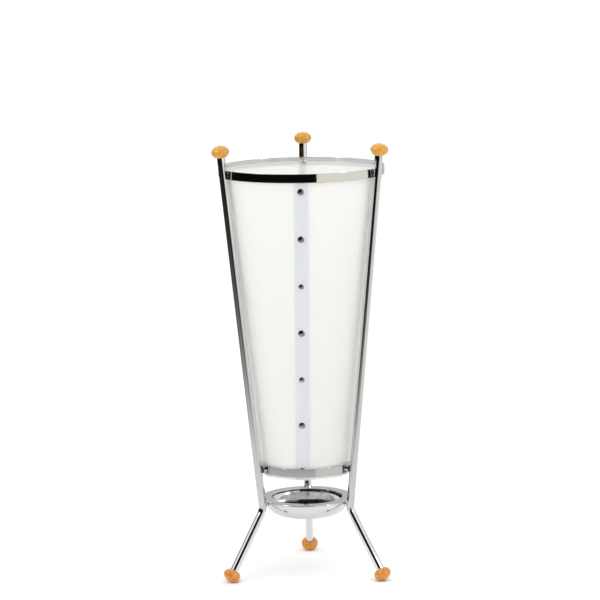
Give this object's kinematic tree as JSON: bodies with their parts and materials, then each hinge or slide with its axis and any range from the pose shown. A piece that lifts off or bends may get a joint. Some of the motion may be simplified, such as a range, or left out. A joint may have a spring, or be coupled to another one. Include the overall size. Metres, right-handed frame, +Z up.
{
  "type": "umbrella stand",
  "caption": "Free-standing umbrella stand: three bent chrome tube legs with wooden ball ends, a frosted cone between two bands, and a drip dish below.",
  "frame": {"origin": "on the floor, on the stand's vertical axis, midway between the three feet", "axes": "+Z up; +Y towards the rear leg; the seam of the sheet faces -Y"},
  "size_m": [0.26, 0.2726, 0.6611],
  "materials": {
    "chromed_tube": "bright chrome plate on steel tube",
    "chromed_band": "bright chrome plate on steel strip",
    "chromed_screws": "bright chrome plate, button heads",
    "chromed_rivets": "bright nickel-chrome domed caps",
    "chromed_dish": "polished pressed steel sheet",
    "lacquered_beech": "honey lacquer over turned beech",
    "frosted_sheet": "frosted translucent polypropylene sheet",
    "zinc_steel": "zinc-plated turned steel",
    "white_nylon": "moulded natural nylon"
  },
  "bodies": {
    "stand": {"rear_leg": "chromed_tube", "top_knob_rear": "lacquered_beech", "foot_knob_rear": "lacquered_beech", "left_leg": "chromed_tube", "top_knob_left": "lacquered_beech", "foot_knob_left": "lacquered_beech", "right_leg": "chromed_tube", "top_knob_right": "lacquered_beech", "foot_knob_right": "lacquered_beech", "upper_end_plugs": "zinc_steel", "lower_end_plugs": "zinc_steel", "upper_knob_bolts": "zinc_steel", "lower_knob_bolts": "zinc_steel", "top_ring": "chromed_band", "bottom_ring": "chromed_band", "top_ring_screws": "chromed_screws", "bottom_ring_screws": "chromed_screws", "top_thread_inserts": "zinc_steel", "bottom_thread_inserts": "zinc_steel", "bottom_ring_spacers": "chromed_screws", "top_sheet_bushes": "white_nylon", "bottom_sheet_bushes": "white_nylon", "frosted_sheet": "frosted_sheet", "large_seam_rivets": "chromed_rivets", "small_seam_rivets": "chromed_rivets", "rivet_washers": "zinc_steel", "dish_support_pins": "chromed_screws"},
    "dish": {"dish_bowl": "chromed_dish", "dish_lip": "chromed_dish"}
  },
  "joints": [
    {"name": "dish_lift", "type": "slide", "parent": "stand", "child": "dish", "axis": [0, 0, 1], "range_m": [0, 0.035]}
  ]
}
